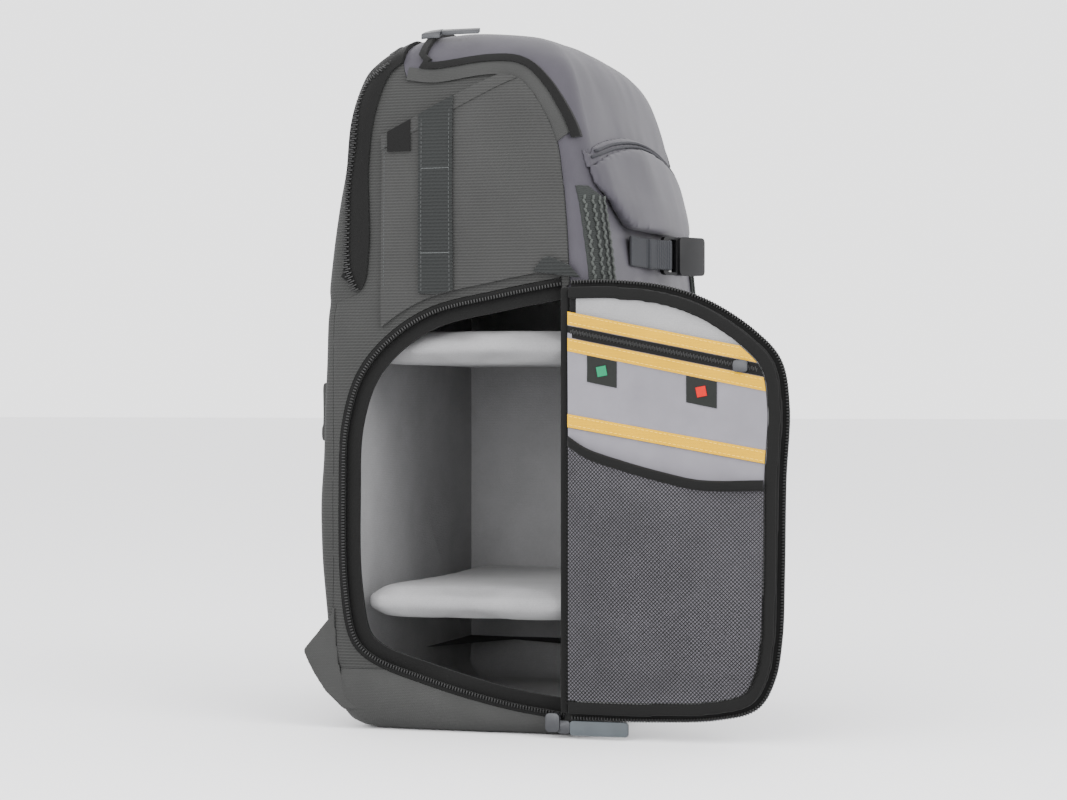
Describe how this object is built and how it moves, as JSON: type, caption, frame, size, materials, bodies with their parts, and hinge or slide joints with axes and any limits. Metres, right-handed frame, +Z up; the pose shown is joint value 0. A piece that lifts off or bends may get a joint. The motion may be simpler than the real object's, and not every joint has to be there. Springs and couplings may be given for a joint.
{
  "type": "camera backpack",
  "caption": "Camera backpack standing on its base, with its padded side door open flat on the camera bay, padded dividers, door pockets and a closed upper compartment.",
  "frame": {"origin": "middle of the flat base, at the bottom of the pack", "axes": "+Z up through the pack, -Y towards the pack's outer front, +Y towards the wearer's back, -X towards the side with the open door"},
  "size_m": [0.3075, 0.3598, 0.4978],
  "materials": {
    "grey_cloth": "dense ribbed and plain polyester, mid grey, matt",
    "coated_cloth": "smooth coated polyester, lavender grey, slight sheen",
    "black_cloth": "black tape, zip and padding cover, matt",
    "black_net": "open knitted net, black",
    "lining": "brushed loop lining over foam, light grey",
    "yellow_tape": "woven binding tape, warm yellow",
    "webbing": "woven polyester webbing, dark grey",
    "slider_metal": "dark enamelled die-cast metal",
    "pull_rubber": "moulded rubber, blue grey",
    "black_nylon": "moulded nylon, fine satin grain",
    "green_patch": "woven patch, black with a green tile",
    "red_patch": "woven patch, black with a red tile"
  },
  "bodies": {
    "root": {"side_panel_left": "grey_cloth", "side_panel_right": "grey_cloth", "rear_compartment": "grey_cloth", "base_boot": "grey_cloth", "top_gusset_left": "grey_cloth", "top_gusset_right": "grey_cloth", "side_pocket": "grey_cloth", "trolley_band": "grey_cloth", "wing_left": "grey_cloth", "wing_right": "grey_cloth", "front_top_shell": "coated_cloth", "front_pouch": "coated_cloth", "pouch_hood": "coated_cloth", "rear_zip": "black_cloth", "top_zip": "black_cloth", "opening_zip": "black_cloth", "opening_facing": "black_cloth", "door_spine": "black_cloth", "door_zip": "black_cloth", "door_rim": "black_cloth", "door_pocket_zip": "black_cloth", "mesh_edge": "black_cloth", "side_label": "black_cloth", "back_pad_left": "black_cloth", "back_pad_right": "black_cloth", "lumbar_pad": "black_cloth", "shoulder_strap_left": "black_cloth", "shoulder_strap_right": "black_cloth", "mesh_pocket": "black_net", "bay_lining": "lining", "divider_upper": "lining", "divider_lower": "lining", "side_door": "lining", "door_pocket_upper": "lining", "door_pocket_lower": "lining", "door_tape_upper": "yellow_tape", "door_tape_middle": "yellow_tape", "door_tape_lower": "yellow_tape", "side_webbing": "webbing", "hinge_tab": "webbing", "ribbon_left": "webbing", "ribbon_right": "webbing", "front_strap_left": "webbing", "front_strap_right": "webbing", "strap_webbing_left": "webbing", "strap_webbing_right": "webbing", "grab_handle": "webbing", "top_slider": "slider_metal", "top_pull": "slider_metal", "rear_slider": "slider_metal", "door_pocket_slider": "slider_metal", "door_slider": "slider_metal", "door_pull": "pull_rubber", "buckle_socket": "black_nylon", "buckle_prongs": "black_nylon", "ladder_lock_left": "black_nylon", "ladder_lock_right": "black_nylon", "tag_green": "green_patch", "tag_red": "red_patch"}
  },
  "joints": []
}
